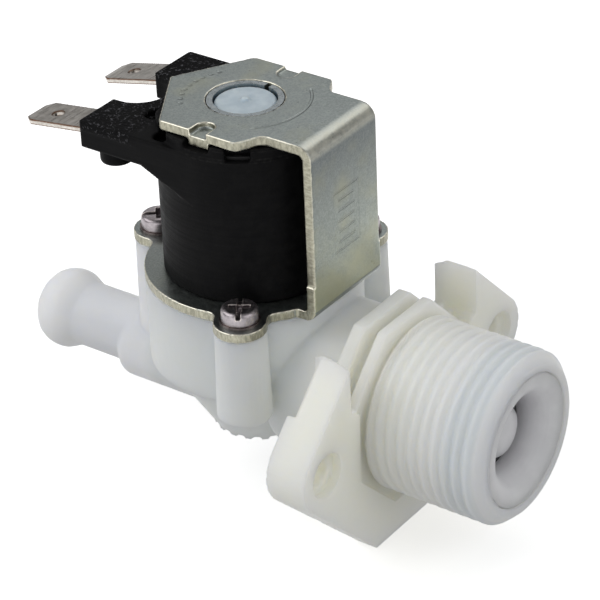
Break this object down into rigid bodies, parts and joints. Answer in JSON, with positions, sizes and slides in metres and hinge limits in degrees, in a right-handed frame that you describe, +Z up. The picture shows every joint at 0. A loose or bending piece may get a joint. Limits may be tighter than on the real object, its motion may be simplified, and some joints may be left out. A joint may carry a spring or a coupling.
{
  "type": "solenoid inlet valve",
  "caption": "Solenoid water inlet valve with a threaded inlet, hose tail outlet, encapsulated coil in a plated steel bracket and a mounting flange with screw wings.",
  "frame": {"origin": "on the plunger axis, at the top face of the bracket's base plate", "axes": "+Z up along the plunger axis away from the pipework, +X along the inlet axis towards the threaded inlet's mouth, -X towards the hose tail and the coil's tabs, +Y across the valve"},
  "size_m": [0.0886, 0.0564, 0.0617],
  "materials": {
    "body_plastic": "milky translucent polyamide",
    "plated_steel": "zinc plated with a pale yellow passivate",
    "coil_plastic": "matt black glass-filled plastic",
    "bobbin_plastic": "black glass-filled plastic",
    "copper_wire": "enamelled copper wire",
    "tape": "amber insulating tape",
    "lead_wire": "tinned copper wire",
    "tab_metal": "tin plated brass",
    "tab_metal_right": "tin plated brass",
    "sleeve_steel": "zinc plated steel",
    "sleeve_steel_low": "zinc plated steel",
    "tube_plastic": "pale blue-white translucent plastic",
    "screw_steel": "dark passivated steel",
    "washer_steel": "dark passivated steel",
    "insert_plastic": "white acetal",
    "o_ring_rubber": "black nitrile rubber",
    "washer_rubber": "black rubber",
    "strainer_plastic": "white plastic",
    "mesh_plastic": "fine nylon screen",
    "plunger_steel": "ferritic stainless steel",
    "seal_rubber": "black rubber",
    "spring_steel": "stainless spring wire",
    "membrane_rubber": "black rubber",
    "piston_plastic": "white acetal"
  },
  "bodies": {
    "valve": {"valve_body": "body_plastic", "steel_bracket": "plated_steel", "coil_overmould": "coil_plastic", "coil_bobbin": "bobbin_plastic", "coil_winding": "copper_wire", "winding_tape": "tape", "coil_leads": "lead_wire", "terminal_left": "tab_metal", "terminal_right": "tab_metal_right", "flux_sleeve_upper": "sleeve_steel", "flux_sleeve_lower": "sleeve_steel_low", "guide_tube": "tube_plastic", "cover_screws": "screw_steel", "screw_washers": "washer_steel", "inlet_insert": "insert_plastic", "insert_o_ring": "o_ring_rubber", "flow_washer": "washer_rubber", "strainer_frame": "strainer_plastic", "strainer_mesh": "mesh_plastic"},
    "armature": {"plunger": "plunger_steel", "plunger_seal": "seal_rubber", "plunger_spring": "spring_steel"},
    "piston": {"diaphragm": "membrane_rubber", "diaphragm_insert": "piston_plastic"}
  },
  "joints": [
    {"name": "plunger_lift", "type": "slide", "parent": "valve", "child": "armature", "axis": [0, 0, 1], "range_m": [0, 0.0025], "stiffness_N_per_m": 60, "springref_m": -0.005, "deforming": ["plunger_spring"]},
    {"name": "diaphragm_lift", "type": "slide", "parent": "valve", "child": "piston", "axis": [0, 0, 1], "range_m": [0, 0.0015], "deforming": ["diaphragm"]}
  ],
  "couplings": [
    {"joint": "diaphragm_lift", "follows": "plunger_lift", "ratio": 0.6}
  ]
}
